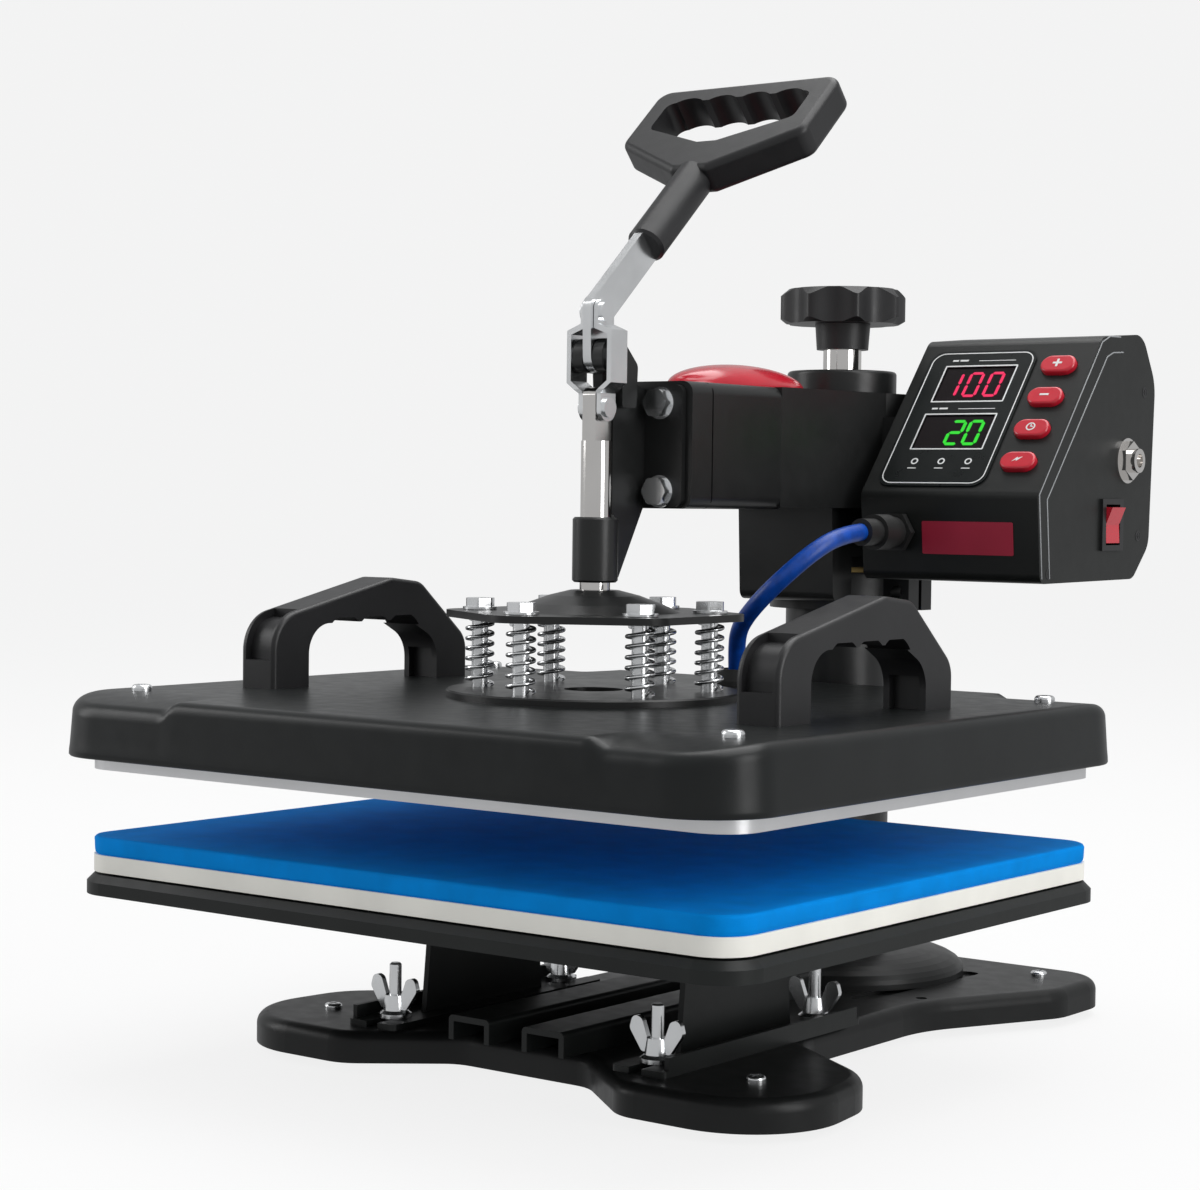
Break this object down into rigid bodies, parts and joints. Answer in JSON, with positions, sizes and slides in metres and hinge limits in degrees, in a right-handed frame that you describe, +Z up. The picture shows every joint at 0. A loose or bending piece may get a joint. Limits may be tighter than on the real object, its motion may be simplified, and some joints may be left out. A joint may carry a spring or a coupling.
{
  "type": "swing-away heat press",
  "caption": "Swing-away flat heat press with a column, toggle lever, sprung heated platen, silicone pad and digital control box.",
  "frame": {"origin": "under the middle of the whole machine, on the surface it stands on", "axes": "+Z up, +Y from the operator's side towards the column, +X to the machine's right as the operator faces it"},
  "size_m": [0.404, 0.481, 0.4962],
  "materials": {
    "base_paint": "satin",
    "frame_paint": "satin",
    "cover_paint": "satin",
    "cast_paint": "satin",
    "case_paint": "satin",
    "zinc_steel": "satin",
    "chrome": "polished",
    "foot_rubber": "matte",
    "board_white": "matte",
    "silicone_blue": "matte",
    "aluminium": "satin",
    "red_plastic": "gloss",
    "black_plastic": "satin",
    "facia": "gloss",
    "display": "gloss",
    "brass": "satin",
    "blanket": "matte",
    "circuit": "satin",
    "cable_blue": "satin",
    "plug_black": "matte",
    "sheath": "satin"
  },
  "bodies": {
    "root": {"base_plate": "base_paint", "base_feet": "foot_rubber", "foot_screws": "zinc_steel", "centre_rails": "frame_paint", "bracket_left": "frame_paint", "bracket_right": "frame_paint", "bracket_studs": "zinc_steel", "column_foot": "base_paint", "column_post": "cast_paint", "lower_frame": "frame_paint", "lower_board": "board_white", "silicone_pad": "silicone_blue"},
    "lift": {"column_bush": "brass"},
    "arm": {"arm_casting": "cast_paint", "arm_dome": "red_plastic", "column_collar": "cast_paint", "toggle_bracket": "cast_paint", "bracket_bolts": "zinc_steel", "guide_sleeve": "cast_paint", "pivot_pin": "zinc_steel", "control_case": "case_paint", "control_side_cover": "case_paint", "control_panel": "facia", "display_window": "display", "circuit_board": "circuit", "fuse_holder": "chrome", "cable_socket": "plug_black", "heater_cable": "cable_blue", "cable_plug": "plug_black", "switch_body": "black_plastic"},
    "knob": {"pressure_knob": "black_plastic", "knob_screw": "chrome"},
    "lever": {"lever_bar": "zinc_steel", "lever_grip": "black_plastic", "toggle_pin": "zinc_steel"},
    "links": {"toggle_links": "zinc_steel"},
    "plunger": {"plunger_rod": "chrome", "clevis_pin": "zinc_steel", "pressure_plate": "cast_paint"},
    "platen": {"spring_plate": "cast_paint", "spring_bolts": "zinc_steel", "springs": "zinc_steel", "platen_cover": "cover_paint", "insulation_blanket": "blanket", "heating_plate": "aluminium", "heating_element": "sheath", "thermostat": "sheath", "cover_screws": "zinc_steel", "handle_left": "black_plastic", "handle_right": "black_plastic", "cable_grommet": "foot_rubber"},
    "rocker": {"power_rocker": "red_plastic"},
    "button_up": {"button_up": "red_plastic"},
    "button_down": {"button_down": "red_plastic"},
    "button_timer": {"button_timer": "red_plastic"},
    "button_mode": {"button_mode": "red_plastic"},
    "wing_nut_front_left": {"wing_nut_front_left": "zinc_steel"},
    "wing_nut_front_right": {"wing_nut_front_right": "zinc_steel"},
    "wing_nut_rear_left": {"wing_nut_rear_left": "zinc_steel"},
    "wing_nut_rear_right": {"wing_nut_rear_right": "zinc_steel"}
  },
  "joints": [
    {"name": "column_lift", "type": "slide", "parent": "root", "child": "lift", "axis": [0, 0, 1], "range_m": [0, 0.006]},
    {"name": "arm_swing", "type": "hinge", "parent": "lift", "child": "arm", "pos_m": [0, 0.1575, 0.23], "axis": [0, 0, 1], "continuous": true},
    {"name": "knob_turn", "type": "hinge", "parent": "arm", "child": "knob", "pos_m": [0, 0.1575, 0.386], "axis": [0, 0, 1], "range_deg": [0, 1082]},
    {"name": "lever_pull", "type": "hinge", "parent": "arm", "child": "lever", "pos_m": [0, -0.0645, 0.349], "axis": [1, 0, 0], "range_deg": [0, 125]},
    {"name": "link_swing", "type": "hinge", "parent": "lever", "child": "links", "pos_m": [0, -0.0656, 0.37], "axis": [1, 0, 0], "range_deg": [-108, 2]},
    {"name": "plunger_stroke", "type": "slide", "parent": "arm", "child": "plunger", "axis": [0, 0, -1], "range_m": [0, 0.0312]},
    {"name": "platen_float", "type": "slide", "parent": "plunger", "child": "platen", "axis": [0, 0, 1], "range_m": [0, 0.004], "stiffness_N_per_m": 20000, "deforming": ["springs"]},
    {"name": "power_switch", "type": "hinge", "parent": "arm", "child": "rocker", "pos_m": [0.149, 0.1845, 0.269], "axis": [0, -1, 0], "range_deg": [0, 12]},
    {"name": "button_up_press", "type": "slide", "parent": "arm", "child": "button_up", "axis": [0, 0.7735, -0.6337], "range_m": [0, 0.0015], "stiffness_N_per_m": 250},
    {"name": "button_down_press", "type": "slide", "parent": "arm", "child": "button_down", "axis": [0, 0.7735, -0.6337], "range_m": [0, 0.0015], "stiffness_N_per_m": 250},
    {"name": "button_timer_press", "type": "slide", "parent": "arm", "child": "button_timer", "axis": [0, 0.7735, -0.6337], "range_m": [0, 0.0015], "stiffness_N_per_m": 250},
    {"name": "button_mode_press", "type": "slide", "parent": "arm", "child": "button_mode", "axis": [0, 0.7735, -0.6337], "range_m": [0, 0.0015], "stiffness_N_per_m": 250},
    {"name": "wing_nut_front_left_turn", "type": "hinge", "parent": "root", "child": "wing_nut_front_left", "pos_m": [-0.08, -0.1175, 0.03], "axis": [0, 0, 1], "continuous": true},
    {"name": "wing_nut_front_right_turn", "type": "hinge", "parent": "root", "child": "wing_nut_front_right", "pos_m": [0.08, -0.1175, 0.03], "axis": [0, 0, 1], "continuous": true},
    {"name": "wing_nut_rear_left_turn", "type": "hinge", "parent": "root", "child": "wing_nut_rear_left", "pos_m": [-0.08, 0.0145, 0.03], "axis": [0, 0, 1], "continuous": true},
    {"name": "wing_nut_rear_right_turn", "type": "hinge", "parent": "root", "child": "wing_nut_rear_right", "pos_m": [0.08, 0.0145, 0.03], "axis": [0, 0, 1], "continuous": true}
  ],
  "couplings": [
    {"joint": "plunger_stroke", "follows": "lever_pull", "m_per_rad": 0.014164},
    {"joint": "link_swing", "follows": "lever_pull", "ratio": -0.8448},
    {"joint": "knob_turn", "follows": "column_lift", "rad_per_m": 3141.6}
  ]
}
